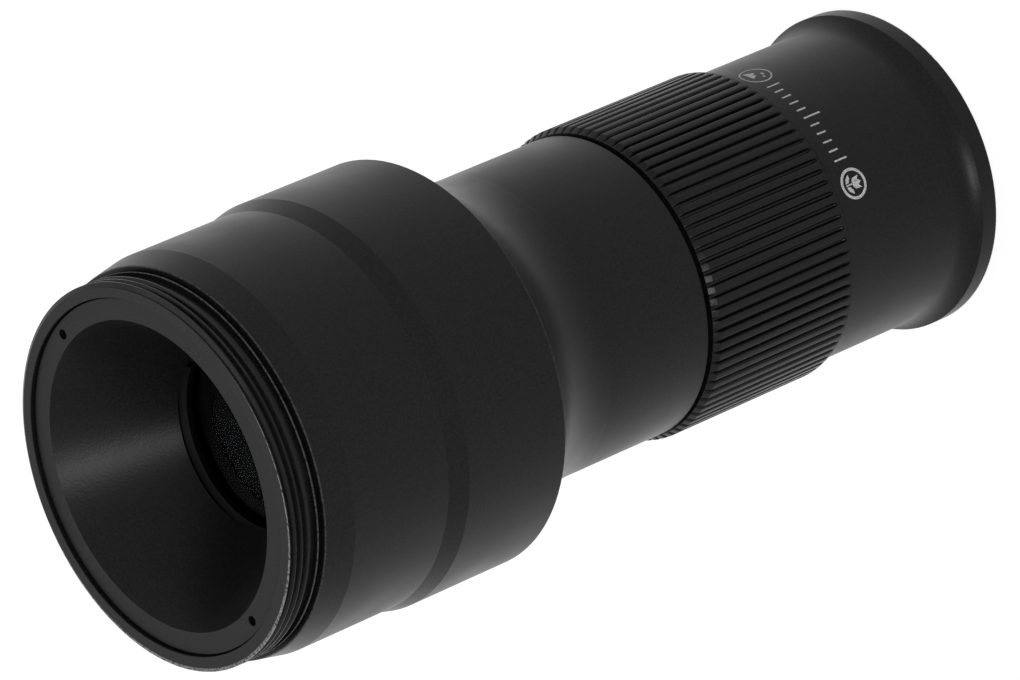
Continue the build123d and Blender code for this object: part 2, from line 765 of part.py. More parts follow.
# Prism cage: a slotted cylinder with a flange, screwed to the shell's inner shoulder
with BuildPart() as prism_cage:
    with BuildSketch(Plane.XZ):
        with BuildLine():
            Polyline(
                (0, cage_low_z),
                (cage_r, cage_low_z),
                (cage_r, cage_seat_z),
                (cage_flange_r, cage_seat_z),
                (cage_flange_r, cage_flange_z),
                (cage_r, cage_flange_z),
                (cage_r, cage_top_z),
                (0, cage_top_z),
                close=True,
            )
        make_face()
    revolve(axis=Axis.Z)
    with BuildSketch(Plane.XY.offset(prism_z)):
        Rectangle(2 * cage_r, pocket_width)
    extrude(amount=cage_top_z - prism_z, mode=Mode.SUBTRACT)
    with Locations((0, 0, cage_low_z)):
        bored(half_aperture, prism_start)
    with Locations((0, 0, cage_seat_z)):
        with PolarLocations(cage_screw_circle_r, cage_screw_count, first_screw_angle):
            bored(cage_screw_r + slot_clearance, cage_flange_thickness)
    with Locations((0, 0, cage_top_z - clamp_screw_length)):
        with PolarLocations(clamp_screw_offset, clamp_screw_count, first_screw_angle):
            bored(clamp_screw_r + seat_clearance, clamp_screw_length)
prism_cage.part.label = "prism_cage"
export_step(prism_cage.part, "parts/prism_cage.step")

with BuildPart() as cage_screws:
    with Locations((0, 0, cage_flange_z)):
        with PolarLocations(cage_screw_circle_r, cage_screw_count, first_screw_angle):
            rod(cage_screw_head_r, cage_screw_head_height)
            with Locations((0, 0, -cage_screw_length)):
                rod(cage_screw_r, cage_screw_length)
cage_screws.part.label = "cage_screws"
export_step(cage_screws.part, "parts/cage_screws.step")

with BuildPart() as prism_clamp:
    with Locations((0, 0, cage_top_z)):
        rod(cage_r - clamp_inset, clamp_thickness)
        bored(half_aperture + clamp_opening_step, clamp_thickness)
        with PolarLocations(clamp_screw_offset, clamp_screw_count, first_screw_angle):
            bored(clamp_screw_r + slot_clearance, clamp_thickness)
prism_clamp.part.label = "prism_clamp"
export_step(prism_clamp.part, "parts/prism_clamp.step")

with BuildPart() as clamp_screws:
    with Locations((0, 0, cage_top_z + clamp_thickness)):
        with PolarLocations(clamp_screw_offset, clamp_screw_count, first_screw_angle):
            rod(clamp_screw_head_r, clamp_screw_head_height)
            with Locations((0, 0, -clamp_screw_length)):
                rod(clamp_screw_r, clamp_screw_length)
clamp_screws.part.label = "clamp_screws"
export_step(clamp_screws.part, "parts/clamp_screws.step")

# Objective cell: a cup for the doublet that slides in the front tube, funnelled
# into a sleeve that slides in the guide barrel and carries the followers
pin_stud_r = pin_shank_r + pin_stud_step
with BuildPart() as objective_cell:
    with BuildSketch(Plane.XZ):
        with BuildLine():
            Polyline(
                (cell_cup_bore_r, cell_front_z),
                (cell_cup_r, cell_front_z),
                (cell_cup_r, cup_rear_z),
                (cell_sleeve_r, cup_rear_z),
                (cell_sleeve_r, cell_rear_z),
                (cell_sleeve_bore_r, cell_rear_z),
                (cell_sleeve_bore_r, cell_shoulder_z + cell_funnel_length),
                (cell_aperture_r, cell_shoulder_z),
                (cell_cup_bore_r, cell_shoulder_z),
                close=True,
            )
        make_face()
    revolve(axis=Axis.Z)
    with follower_spots(cell_sleeve_bore_r - edge_break):
        bored(pin_stud_r + seat_clearance, cell_sleeve_wall + 2 * edge_break)
objective_cell.part.label = "objective_cell"
export_step(objective_cell.part, "parts/objective_cell.step")

with BuildPart() as objective_crown:
    with BuildSketch(Plane.XZ):
        lens_face(
            objective_r,
            objective_cap_r,
            crown_low_z,
            crown_high_z,
            -objective_front_sag,
            objective_cement_sag,
        )
    revolve(axis=Axis.Z)
objective_crown.part.label = "objective_crown"
export_step(objective_crown.part, "parts/objective_crown.step")

with BuildPart() as objective_flint:
    with BuildSketch(Plane.XZ):
        lens_face(
            objective_r,
            objective_cap_r,
            flint_low_z,
            cell_shoulder_z,
            objective_cement_sag,
            objective_rear_sag,
        )
    revolve(axis=Axis.Z)
objective_flint.part.label = "objective_flint"
export_step(objective_flint.part, "parts/objective_flint.step")

objective_thread_r = cell_cup_bore_r - seat_clearance
with BuildPart() as objective_retainer:
    with BuildSketch(Plane.XZ):
        ring_face(objective_cap_r + slot_clearance, objective_thread_r, retainer_front_z, crown_low_z)
    revolve(axis=Axis.Z)
    with BuildSketch(Plane.XY.offset(retainer_front_z)):
        Rectangle(3 * cell_cup_bore_r, objective_retainer_slot)
    extrude(amount=retainer_slot_depth, mode=Mode.SUBTRACT)
objective_retainer.part.label = "objective_retainer"
export_step(objective_retainer.part, "parts/objective_retainer.step")

# Followers: three headed studs screwed into the cell, each with a roller that
# runs in a straight slot and a cam slot at once
with BuildPart() as follower_pins:
    with follower_spots(0):
        with Locations((0, 0, cell_sleeve_bore_r)):
            rod(pin_stud_r, cell_sleeve_wall)
        with Locations((0, 0, cell_sleeve_r)):
            rod(pin_shank_r, pin_head_start_r - cell_sleeve_r)
        with Locations((0, 0, pin_head_start_r)):
            rod(pin_shank_r + pin_head_step, pin_head_height)
follower_pins.part.label = "follower_pins"
export_step(follower_pins.part, "parts/follower_pins.step")

with BuildPart() as follower_rollers:
    with follower_spots(roller_start_r):
        rod(roller_r, roller_length)
        bored(roller_bore_r, roller_length)
follower_rollers.part.label = "follower_rollers"
export_step(follower_rollers.part, "parts/follower_rollers.step")
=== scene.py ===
from math import acos, asin, cos, pi, radians, sin

import bmesh
import bpy
from mathutils import Matrix, Vector


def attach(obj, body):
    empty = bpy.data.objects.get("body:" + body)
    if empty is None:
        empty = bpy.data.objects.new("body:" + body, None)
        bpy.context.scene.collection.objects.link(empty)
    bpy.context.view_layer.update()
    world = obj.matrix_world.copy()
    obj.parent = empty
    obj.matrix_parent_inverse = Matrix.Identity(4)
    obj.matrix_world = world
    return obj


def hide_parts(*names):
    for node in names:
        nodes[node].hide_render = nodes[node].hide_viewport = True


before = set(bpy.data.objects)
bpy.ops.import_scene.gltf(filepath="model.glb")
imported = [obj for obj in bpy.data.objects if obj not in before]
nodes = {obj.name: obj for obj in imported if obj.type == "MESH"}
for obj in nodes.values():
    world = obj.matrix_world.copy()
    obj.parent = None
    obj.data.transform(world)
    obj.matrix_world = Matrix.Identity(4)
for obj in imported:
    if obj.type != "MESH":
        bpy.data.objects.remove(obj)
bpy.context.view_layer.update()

MM = 0.001
MATH, RANGE, NOISE = "ShaderNodeMath", "ShaderNodeMapRange", "ShaderNodeTexNoise"
JOIN_XYZ, SPLIT_XYZ = "ShaderNodeCombineXYZ", "ShaderNodeSeparateXYZ"


def add(tree, kind, inputs=(), **settings):
    """Adds one node with its settings. Its inputs come in order or by name, and each
    is a value, another node or one of a node's outputs."""
    node = tree.nodes.new(kind)
    for name, value in settings.items():
        setattr(node, name, value)
    for key, source in inputs.items() if isinstance(inputs, dict) else enumerate(inputs):
        if isinstance(source, bpy.types.Node):
            source = next(socket for socket in source.outputs if socket.enabled)
        if isinstance(source, bpy.types.NodeSocket):
            tree.links.new(source, node.inputs[key])
        else:
            node.inputs[key].default_value = source
    return node


# Materials

def linear(hexcode):
    """sRGB hex value as the linear colour, with its alpha, that Blender's sockets take."""
    parts = [int(hexcode[i:i + 2], 16) / 255 for i in (1, 3, 5)]
    return [c / 12.92 if c <= 0.04045 else ((c + 0.055) / 1.055) ** 2.4 for c in parts] + [1.0]


def finish(name):
    """An empty material, its tree and the object's own coordinates."""
    material = bpy.data.materials.new(name)
    material.use_nodes = True
    tree = material.node_tree
    tree.nodes.clear()
    return material, tree, add(tree, "ShaderNodeTexCoord").outputs["Object"]


def painted_edge_glints(tree, place, edges):
    """Painted highlight along the edges: specks of grey metal that stand in for glints,
    from 0 to 1. Each edge is (radius, height, width, share), in mm."""
    at = add(tree, SPLIT_XYZ, [place]).outputs
    flat = add(tree, JOIN_XYZ, [at["X"], at["Y"]])
    radius = add(tree, "ShaderNodeVectorMath", [flat], operation="LENGTH")
    specks = add(tree, NOISE, {"Scale": 1 / (0.3 * MM), "Detail": 3.0, "Vector": place})
    glint_share = 0.0
    for edge_r, edge_z, width, share in edges:
        aside = add(tree, MATH, [radius, edge_r * MM], operation="SUBTRACT")
        along = add(tree, MATH, [at["Z"], edge_z * MM], operation="SUBTRACT")
        off = add(tree, "ShaderNodeVectorMath", [add(tree, JOIN_XYZ, [aside, along])], operation="LENGTH")
        near = add(tree, RANGE, [off, 0.4 * width * MM, width * MM, share, 0.0],
                   interpolation_type="SMOOTHSTEP")
        glint_share = add(tree, MATH, [glint_share, near], operation="MAXIMUM")
    speckled = add(tree, RANGE, [specks, 0.32, 0.56], interpolation_type="SMOOTHSTEP")
    return add(tree, MATH, [glint_share, speckled], operation="MULTIPLY")


def anodised(name, dark, light, roughness, ior, grit_mm, grit_depth_mm, glint_edges=()):
    """Black dyed anodised aluminium after bead blasting. The dye lies in a clear
    oxide skin, so it shines like a dull lacquer, not like bare metal. The blasting
    leaves a fine even grain, whose tiny pits shade each other and take most of the
    gloss away, so the index is set lower than the 1.6 of clear oxide. Along the listed
    edges, grey metal specks are painted in as a highlight that stands in for glints."""
    material, tree, place = finish(name)
    grain = add(tree, NOISE, {"Scale": 1 / (grit_mm * MM), "Detail": 2.0, "Vector": place})
    drift = add(tree, NOISE, {"Scale": 1 / (7 * MM), "Detail": 2.0, "Vector": place})
    dyed = add(tree, RANGE, [grain, 0.3, 0.7], interpolation_type="SMOOTHSTEP")
    rough = add(tree, RANGE, [drift, 0.3, 0.7, roughness - 0.03, roughness + 0.03],
                interpolation_type="SMOOTHSTEP")
    dye = add(tree, "ShaderNodeMix", {0: dyed, 6: linear(dark), 7: linear(light)}, data_type="RGBA")
    bump = add(tree, "ShaderNodeBump", {"Strength": 1.0, "Distance": grit_depth_mm * MM, "Height": grain})
    look = {"Base Color": dye, "Roughness": rough, "IOR": ior, "Normal": bump}
    if glint_edges:
        # Painted highlight: grey metal specks on the listed edges stand in for glints there
        glint_share = painted_edge_glints(tree, place, glint_edges)
        look["Base Color"] = add(tree, "ShaderNodeMix", {0: glint_share, 6: dye, 7: linear("#8c8c8c")},
                                 data_type="RGBA")
        look["Metallic"] = add(tree, MATH, [glint_share, 0.7], operation="MULTIPLY")
    shader = add(tree, "ShaderNodeBsdfPrincipled", look)
    add(tree, "ShaderNodeOutputMaterial", {"Surface": shader})
    return material


# The edge lists give where glints are painted on as grey metal specks
# Blasting grit is about 0.1 mm across, drawn at twice that so that it shows
shell_black = anodised("black_anodised_aluminium_blasted", "#0a0a0a", "#191919", 0.34, 1.23, 0.22, 0.008,
                       glint_edges=[(18.85, 89.15, 0.12, 0.16), (19.95, 60.8, 0.14, 0.14)])
ring_black = anodised("black_anodised_aluminium_ribbed", "#080808", "#131313", 0.32, 1.25, 0.22, 0.006)
mount_black = anodised("black_anodised_aluminium_threaded", "#0b0b0b", "#191919", 0.27, 1.245, 0.2, 0.006,
                       glint_edges=[(18.45, 92.99, 0.14, 0.9), (18.27, 92.99, 0.12, 0.7), (18.5, 89.75, 0.1, 0.25)])
cone_black = anodised("black_anodised_aluminium_cone", "#080808", "#161616", 0.38, 1.235, 0.22, 0.012)
inner_black = anodised("black_anodised_aluminium_matt", "#030303", "#070707", 0.55, 1.2, 0.2, 0.01)
retainer_black = anodised("black_anodised_aluminium_turned", "#060606", "#0e0e0e", 0.4, 1.2, 0.12, 0.003)


def bare_metal(name, colour, roughness, turning_mm):
    """Turned or ground bare metal: fine rings round the axis from the tool's feed."""
    material, tree, place = finish(name)
    height = add(tree, SPLIT_XYZ, [place]).outputs["Z"]
    feed = add(tree, MATH, [height, 2 * pi / (turning_mm * MM)], operation="MULTIPLY")
    wave = add(tree, MATH, [feed], operation="SINE")
    blotch = add(tree, NOISE, {"Scale": 1 / (1.5 * MM), "Detail": 3.0, "Vector": place})
    rough = add(tree, RANGE, [blotch, 0.3, 0.7, roughness - 0.06, roughness + 0.06])
    bump = add(tree, "ShaderNodeBump", {"Strength": 0.5, "Distance": 0.002 * MM, "Height": wave})
    shader = add(tree, "ShaderNodeBsdfPrincipled",
                 {"Base Color": linear(colour), "Metallic": 1.0, "Roughness": rough, "Normal": bump})
    add(tree, "ShaderNodeOutputMaterial", {"Surface": shader})
    return material


natural_aluminium = bare_metal("turned_aluminium", "#c9cacc", 0.32, 0.12)
cam_brass = bare_metal("milled_brass", "#b8924a", 0.28, 0.15)
screw_steel = bare_metal("machined_steel", "#8d8e91", 0.3, 0.25)
clamp_steel = bare_metal("blued_spring_steel", "#3b3f48", 0.34, 0.3)


def waxy_plastic(name, colour, roughness):
    """Acetal or PTFE, cut from rod or sheet: waxy, with a faint haze of tool marks."""
    material, tree, place = finish(name)
    haze = add(tree, NOISE, {"Scale": 1 / (0.6 * MM), "Detail": 4.0, "Vector": place})
    rough = add(tree, RANGE, [haze, 0.3, 0.7, roughness - 0.05, roughness + 0.05])
    bump = add(tree, "ShaderNodeBump", {"Strength": 0.4, "Distance": 0.003 * MM, "Height": haze})
    shader = add(tree, "ShaderNodeBsdfPrincipled",
                 {"Base Color": linear(colour), "IOR": 1.46, "Roughness": rough, "Normal": bump})
    add(tree, "ShaderNodeOutputMaterial", {"Surface": shader})
    return material


acetal = waxy_plastic("turned_acetal", "#e4e2da", 0.4)
ptfe = waxy_plastic("skived_ptfe_sheet", "#efefec", 0.5)


def coated_lens(name, ior, glare):
    """A polished lens with an anti-reflection coating: nearly all the light goes
    through, and what little comes back is tinted by the coating. Some dust lies on it."""
    material, tree, place = finish(name)
    dust = add(tree, NOISE, {"Scale": 1 / (0.25 * MM), "Detail": 1.0, "Vector": place})
    through = add(tree, "ShaderNodeBsdfRefraction", {"Color": linear("#f4f4f4"), "Roughness": 0.0, "IOR": ior})
    mirror = add(tree, "ShaderNodeBsdfAnisotropic", {"Color": linear(glare), "Roughness": 0.03})
    edge_on = add(tree, "ShaderNodeLayerWeight", {"Blend": 0.5}).outputs["Facing"]
    steep = add(tree, MATH, [edge_on, 3.0], operation="POWER")
    share = add(tree, MATH, [steep, 0.05, 0.004], operation="MULTIPLY_ADD")
    coated = add(tree, "ShaderNodeMixShader", [share, through, mirror])
    speck = add(tree, "ShaderNodeBsdfDiffuse", {"Color": linear("#9a9a9a")})
    dusty = add(tree, RANGE, [dust, 0.74, 0.8, 0.0, 0.25], interpolation_type="SMOOTHSTEP")
    surface = add(tree, "ShaderNodeMixShader", [dusty, coated, speck])
    add(tree, "ShaderNodeOutputMaterial", {"Surface": surface})
    return material


def polished_prism(name, ior):
    """Uncoated prism glass: clear faces which turn the light by reflecting inside."""
    material, tree, place = finish(name)
    haze = add(tree, NOISE, {"Scale": 1 / (0.5 * MM), "Detail": 4.0, "Vector": place})
    rough = add(tree, RANGE, [haze, 0.6, 0.8, 0.0, 0.1], interpolation_type="SMOOTHSTEP")
    shader = add(tree, "ShaderNodeBsdfPrincipled",
                 {"Base Color": linear("#f4f5f4"), "IOR": ior, "Transmission Weight": 1.0, "Roughness": rough})
    add(tree, "ShaderNodeOutputMaterial", {"Surface": shader})
    return material


crown_glass = coated_lens("coated_crown_glass", 1.517, "#c2ccd0")
flint_glass = coated_lens("coated_flint_glass", 1.62, "#c8c0e8")
prism_glass = polished_prism("polished_prism_glass", 1.569)


def print_ink(name, thin, full):
    """Pad-printed epoxy ink: matt, slightly uneven where it took on the grained metal."""
    material, tree, place = finish(name)
    grain = add(tree, NOISE, {"Scale": 1 / (0.14 * MM), "Detail": 3.0, "Vector": place})
    cover = add(tree, RANGE, [grain, 0.3, 0.6])
    ink = add(tree, "ShaderNodeMix", {0: cover, 6: linear(thin), 7: linear(full)}, data_type="RGBA")
    shader = add(tree, "ShaderNodeBsdfPrincipled", {"Roughness": 0.6, "IOR": 1.5, "Base Color": ink})
    add(tree, "ShaderNodeOutputMaterial", {"Surface": shader})
    return material


white_ink = print_ink("white_printing_ink", "#8f8f8f", "#dedede")

finishes = {
    shell_black: ["front_tube", "rear_shell"],
    ring_black: ["focus_ring"],
    mount_black: ["mount_ring"],
    cone_black: ["cone_ring"],
    retainer_black: ["eyepiece_retainer", "objective_retainer"],
    inner_black: ["eyepiece_housing", "field_stop", "eyepiece_spacer_lower", "eyepiece_spacer_upper",
                  "prism_cage", "objective_cell"],
    clamp_steel: ["prism_clamp"],
    screw_steel: ["clamp_screws", "cage_screws", "follower_pins"],
    natural_aluminium: ["guide_barrel"],
    cam_brass: ["cam_sleeve"],
    ptfe: ["ring_washer_front", "ring_washer_rear"],
    acetal: ["follower_rollers"],
    crown_glass: ["eye_lens", "eyepiece_crown", "field_lens", "objective_crown"],
    flint_glass: ["eyepiece_flint", "objective_flint"],
    prism_glass: ["entrance_prism", "roof_prism"],
}
for material, names in finishes.items():
    for name in names:
        slots = nodes[name].data.materials
        slots.clear()
        slots.append(material)


# Turning an outline round the axis with Geometry Nodes

def node_tree(name, inputs):
    """A Geometry Nodes tree with the named inputs, and the outputs that give them."""
    tree = bpy.data.node_groups.new(name, "GeometryNodeTree")
    for label, kind in inputs.items():
        tree.interface.new_socket(label, in_out="INPUT", socket_type="NodeSocket" + kind)
    tree.interface.new_socket("Geometry", in_out="OUTPUT", socket_type="NodeSocketGeometry")
    return tree, add(tree, "NodeGroupInput").outputs


def point_of(tree, outline, index):
    """x, y and z of the outline's point with this number."""
    place = add(tree, "GeometryNodeInputPosition")
    pick = add(tree, "GeometryNodeSampleIndex", {"Geometry": outline, "Value": place, "Index": index},
               data_type="FLOAT_VECTOR")
    return add(tree, SPLIT_XYZ, [pick]).outputs


def turned_grid(tree, outline, columns, closed):
    """A grid to be bent round the axis: one row for each point of the outline, one
    more where it closes on itself, and one column for each step round. Returns the
    grid, column and row numbers."""
    rows = add(tree, "GeometryNodeAttributeDomainSize", [outline]).outputs["Point Count"]
    gaps = rows if closed else add(tree, MATH, [rows, 1], operation="SUBTRACT")
    grid = add(tree, "GeometryNodeMeshGrid",
               {"Size X": columns, "Size Y": gaps,
                "Vertices X": add(tree, MATH, [columns, 1], operation="ADD"),
                "Vertices Y": add(tree, MATH, [gaps, 1], operation="ADD")})
    at = add(tree, SPLIT_XYZ, [add(tree, "GeometryNodeInputPosition")]).outputs
    from_left = add(tree, MATH, [columns, 0.5, at["X"]], operation="MULTIPLY_ADD")
    from_foot = add(tree, MATH, [gaps, 0.5, at["Y"]], operation="MULTIPLY_ADD")
    column = add(tree, MATH, [from_left], operation="ROUND")
    row = add(tree, MATH, [add(tree, MATH, [from_foot], operation="ROUND"), rows], operation="MODULO")
    return grid.outputs["Mesh"], column, row


def bend_round(tree, grid, radius, angle, height, material):
    """Moves the grid to its radius, angle and height, closes it and gives it its material."""
    across = add(tree, MATH, [radius, add(tree, MATH, [angle], operation="COSINE")], operation="MULTIPLY")
    along = add(tree, MATH, [radius, add(tree, MATH, [angle], operation="SINE")], operation="MULTIPLY")
    spot = add(tree, JOIN_XYZ, [across, along, height])
    placed = add(tree, "GeometryNodeSetPosition", {"Geometry": grid, "Position": spot})
    closed = add(tree, "GeometryNodeMergeByDistance", {"Distance": 2e-6, "Geometry": placed})
    real = add(tree, "GeometryNodeRealizeInstances", [closed])
    dressed = add(tree, "GeometryNodeSetMaterial", {"Geometry": real, "Material": material})
    add(tree, "NodeGroupOutput", [dressed])


def outline_mesh(name, points, closed=True):
    """Points in millimetres as a mesh of loose edges, which a tree reads as an outline."""
    mesh = bpy.data.meshes.new(name)
    edges = [(i, i + 1) for i in range(len(points) - 1)] + ([(len(points) - 1, 0)] if closed else [])
    mesh.from_pydata([[c * MM for c in p] for p in points], edges, [])
    shape = bpy.data.objects.new(name, mesh)
    bpy.context.scene.collection.objects.link(shape)
    return shape


def made_by(tree, start, values, name):
    """Runs a tree on an outline and keeps the result as a plain mesh."""
    modifier = start.modifiers.new("make", "NODES")
    modifier.node_group = tree
    for item in tree.interface.items_tree:
        if item.in_out == "INPUT" and item.name in values:
            modifier[item.identifier] = values[item.name]
    mesh = bpy.data.meshes.new_from_object(start.evaluated_get(bpy.context.evaluated_depsgraph_get()))
    start.modifiers.remove(modifier)
    bpy.data.objects.remove(start)
    mesh.name = name
    return mesh


def solid_piece(mesh, name, sharp_deg=35):
    """Outward faces, smooth except where two faces meet at a real edge, in the scene."""
    shell = bmesh.new()
    shell.from_mesh(mesh)
    bmesh.ops.remove_doubles(shell, verts=shell.verts, dist=1e-6)
    bmesh.ops.recalc_face_normals(shell, faces=shell.faces)
    for face in shell.faces:
        face.smooth = True
    for edge in shell.edges:
        edge.smooth = len(edge.link_faces) == 2 and edge.calc_face_angle(0) < radians(sharp_deg)
    shell.to_mesh(mesh)
    shell.free()
    piece = bpy.data.objects.new(name, mesh)
    bpy.context.scene.collection.objects.link(piece)
    return piece


# Focus ring: straight ribs all round, milled from the rear end up to a plain collar.
# Each groove is rounded over at its edges and runs out where the cutter rises
RIBS = 84
RING_R, RING_BORE_R = 15.56, 14.02
RING_FRONT_Z, RING_COLLAR_Z, RING_REAR_Z = 19.1, 19.5, 37.25
FRONT_CHAMFER, REAR_CHAMFER_R, REAR_CHAMFER_Z = 0.25, 0.45, 0.52
GROOVE_TOP, GROOVE_FLOOR, GROOVE_DEPTH = 0.52, 0.18, 0.42
RIB_EDGE = 0.12
CUTTER_RISE = 0.5
RISE_CURVE = 0.5
KEY_DEPTH, KEY_WIDTH, KEY_HEIGHT, KEY_MIDDLE_R = 0.9, 3.0, 1.4, 13.65

tree, given = node_tree("ribbed_ring", {
    "Outline": "Geometry", "Groove": "Object", "Ribs": "Int", "Crest Radius": "Float",
    "Collar Height": "Float", "Cutter Rise": "Float", "Material": "Material"})
groove = add(tree, "GeometryNodeObjectInfo", [given["Groove"]]).outputs["Geometry"]
steps = add(tree, "GeometryNodeAttributeDomainSize", [groove]).outputs["Point Count"]
columns = add(tree, MATH, [given["Ribs"], steps], operation="MULTIPLY")
grid, column, row = turned_grid(tree, given["Outline"], columns, True)
spot = point_of(tree, given["Outline"], row)
cut = point_of(tree, groove, add(tree, MATH, [column, steps], operation="MODULO"))
rib = add(tree, MATH, [add(tree, MATH, [column, steps], operation="DIVIDE")], operation="FLOOR")

# 0 on the collar and 1 where the groove has its full depth
past_collar = add(tree, MATH, [spot["Z"], given["Collar Height"]], operation="SUBTRACT")
above = add(tree, MATH, [past_collar, given["Cutter Rise"]], operation="DIVIDE")
capped = add(tree, MATH, [above, 1.0], operation="MINIMUM")
risen = add(tree, MATH, [add(tree, MATH, [capped, 0.0], operation="MAXIMUM"), RISE_CURVE], operation="POWER")

# The groove also narrows where it runs out, and the rib's middle stays in place
in_groove = add(tree, MATH, [cut["Y"], 1 / MM], operation="MULTIPLY")
shallower = add(tree, MATH, [risen, 1.0], operation="SUBTRACT")
narrowed = add(tree, MATH, [in_groove, shallower, 1.0], operation="MULTIPLY_ADD")
aside = add(tree, MATH, [add(tree, MATH, [cut["X"], narrowed], operation="MULTIPLY"), given["Crest Radius"]],
            operation="DIVIDE")
rib_step = add(tree, MATH, [2 * pi, given["Ribs"]], operation="DIVIDE")
angle = add(tree, MATH, [add(tree, MATH, [rib, rib_step], operation="MULTIPLY"), aside], operation="ADD")
depth = add(tree, MATH, [cut["Z"], risen], operation="MULTIPLY")
crest = add(tree, MATH, [given["Crest Radius"], depth], operation="SUBTRACT")
radius = add(tree, MATH, [spot["X"], crest], operation="MINIMUM")
bend_round(tree, grid, radius, angle, spot["Z"], given["Material"])


def rounded_groove(pitch):
    """Offset, 1 where it belongs to the groove, and depth, across one rib and groove."""
    half, floor_half = GROOVE_TOP / 2, GROOVE_FLOOR / 2
    wall = Vector((floor_half - half, GROOVE_DEPTH)).normalized() * RIB_EDGE
    side = []
    for t in (0, 0.35, 0.65, 1):
        side.append((half + RIB_EDGE * (1 - t) ** 2 + wall.x * t ** 2, wall.y * t ** 2))
    side.append((floor_half, GROOVE_DEPTH))
    return [(-pitch / 2, 0, 0)] + [(-s, 1, d) for s, d in side] + [(s, 1, d) for s, d in side[::-1]]


ring_rows = [(RING_BORE_R, RING_FRONT_Z), (RING_R - FRONT_CHAMFER, RING_FRONT_Z),
             (RING_R, RING_FRONT_Z + FRONT_CHAMFER)]
ring_rows += [(RING_R, RING_COLLAR_Z + CUTTER_RISE * f) for f in (0, 0.06, 0.2, 0.45, 0.75, 1)]
ring_rows += [(RING_R, RING_REAR_Z - REAR_CHAMFER_Z - 0.16),
              (RING_R - 0.02, RING_REAR_Z - REAR_CHAMFER_Z - 0.08),
              (RING_R - 0.06, RING_REAR_Z - REAR_CHAMFER_Z),
              (RING_R - REAR_CHAMFER_R, RING_REAR_Z), (RING_BORE_R, RING_REAR_Z)]
groove_shape = outline_mesh("groove", rounded_groove(2 * pi * RING_R / RIBS), False)
ring_mesh = made_by(tree, outline_mesh("ring_outline", [(r, 0, z) for r, z in ring_rows]),
                    {"Groove": groove_shape, "Ribs": RIBS, "Crest Radius": RING_R * MM,
                     "Collar Height": RING_COLLAR_Z * MM, "Cutter Rise": CUTTER_RISE * MM,
                     "Material": ring_black}, "focus_ring_ribbed")
bpy.data.objects.remove(groove_shape)

# The three keys inside the ring, which turn the cam sleeve
keys = bmesh.new()
keys.from_mesh(ring_mesh)
for key_deg in (90, 210, 330):
    block = bmesh.ops.create_cube(keys, size=1.0)["verts"]
    bmesh.ops.scale(keys, verts=block, vec=Vector((KEY_DEPTH, KEY_WIDTH, KEY_HEIGHT)) * MM)
    bmesh.ops.translate(keys, verts=block, vec=Vector((KEY_MIDDLE_R, 0, RING_FRONT_Z + KEY_HEIGHT / 2)) * MM)
    bmesh.ops.rotate(keys, verts=block, cent=(0, 0, 0), matrix=Matrix.Rotation(radians(key_deg), 3, "Z"))
keys.to_mesh(ring_mesh)
keys.free()
ribbed_ring = solid_piece(ring_mesh, "focus_ring_ribbed")
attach(ribbed_ring, "ring")
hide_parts("focus_ring")

# Mount ring: the right-hand thread that screws into the phone clip, 0.75 mm a turn.
# The turns run past both ends and are cut flat there, as the lathe leaves them
THREAD_R, THREAD_PITCH, THREAD_DEPTH = 18.5, 0.75, 0.41
CREST_FLAT, ROOT_FLAT = 0.125, 0.25
FLANK = (1 - CREST_FLAT - ROOT_FLAT) / 2
THREAD_SHIFT = -0.27
RIM_Z, THREAD_Z, RELIEF_Z, FLANGE_Z, SHELL_Z, FOOT_Z = 92.996, 90.646, 89.796, 89.596, 89.196, 79.996
SEAT_R, SEAT_Z, SEAT_EDGE = 17.1, 91.096, 0.06
RELIEF_R, GROOVE_R, SPIGOT_R, MOUNT_BORE_R = 18.0, 17.9, 17.58, 16.3
FLANGE_EDGE = 0.04
COLUMNS = 360

tree, given = node_tree("turned_band", {
    "Outline": "Geometry", "Columns": "Int", "Pitch": "Float", "Material": "Material"})
grid, column, row = turned_grid(tree, given["Outline"], given["Columns"], False)
spot = point_of(tree, given["Outline"], row)
turned = add(tree, MATH, [column, given["Columns"]], operation="DIVIDE")
height = add(tree, MATH, [turned, given["Pitch"], spot["Z"]], operation="MULTIPLY_ADD")
angle = add(tree, MATH, [turned, 2 * pi], operation="MULTIPLY")
bend_round(tree, grid, spot["X"], angle, height, given["Material"])

# One turn of thread along the axis, as shares of the pitch and of the depth
turn_rows = [(0.0, 0.0), (CREST_FLAT, 0.0), (CREST_FLAT + FLANK, 1.0), (CREST_FLAT + FLANK + ROOT_FLAT, 1.0)]
thread_rows = []
for n in range(-2, int((RIM_Z - THREAD_Z) / THREAD_PITCH) + 3):
    for part, depth in turn_rows:
        z = THREAD_Z + THREAD_SHIFT + (n + part) * THREAD_PITCH
        thread_rows.append((THREAD_R - THREAD_DEPTH * depth, 0, z))
body_rows = [(SEAT_R + SEAT_EDGE, 0, RIM_Z), (SEAT_R, 0, RIM_Z - SEAT_EDGE), (SEAT_R, 0, SEAT_Z),
             (MOUNT_BORE_R, 0, SEAT_Z), (MOUNT_BORE_R, 0, FOOT_Z), (SPIGOT_R, 0, FOOT_Z),
             (SPIGOT_R, 0, SHELL_Z), (GROOVE_R, 0, SHELL_Z), (GROOVE_R, 0, FLANGE_Z),
             (THREAD_R - FLANGE_EDGE, 0, FLANGE_Z), (THREAD_R, 0, FLANGE_Z + FLANGE_EDGE),
             (THREAD_R, 0, RELIEF_Z - FLANGE_EDGE), (THREAD_R - FLANGE_EDGE, 0, RELIEF_Z),
             (RELIEF_R, 0, RELIEF_Z), (RELIEF_R, 0, THREAD_Z)]
sizes = {"Columns": COLUMNS, "Pitch": THREAD_PITCH * MM, "Material": mount_black}
thread_mesh = made_by(tree, outline_mesh("thread_outline", thread_rows, False), sizes, "thread")
sizes["Pitch"] = 0.0
mount_mesh = made_by(tree, outline_mesh("mount_outline", body_rows, False), sizes, "mount_ring_threaded")

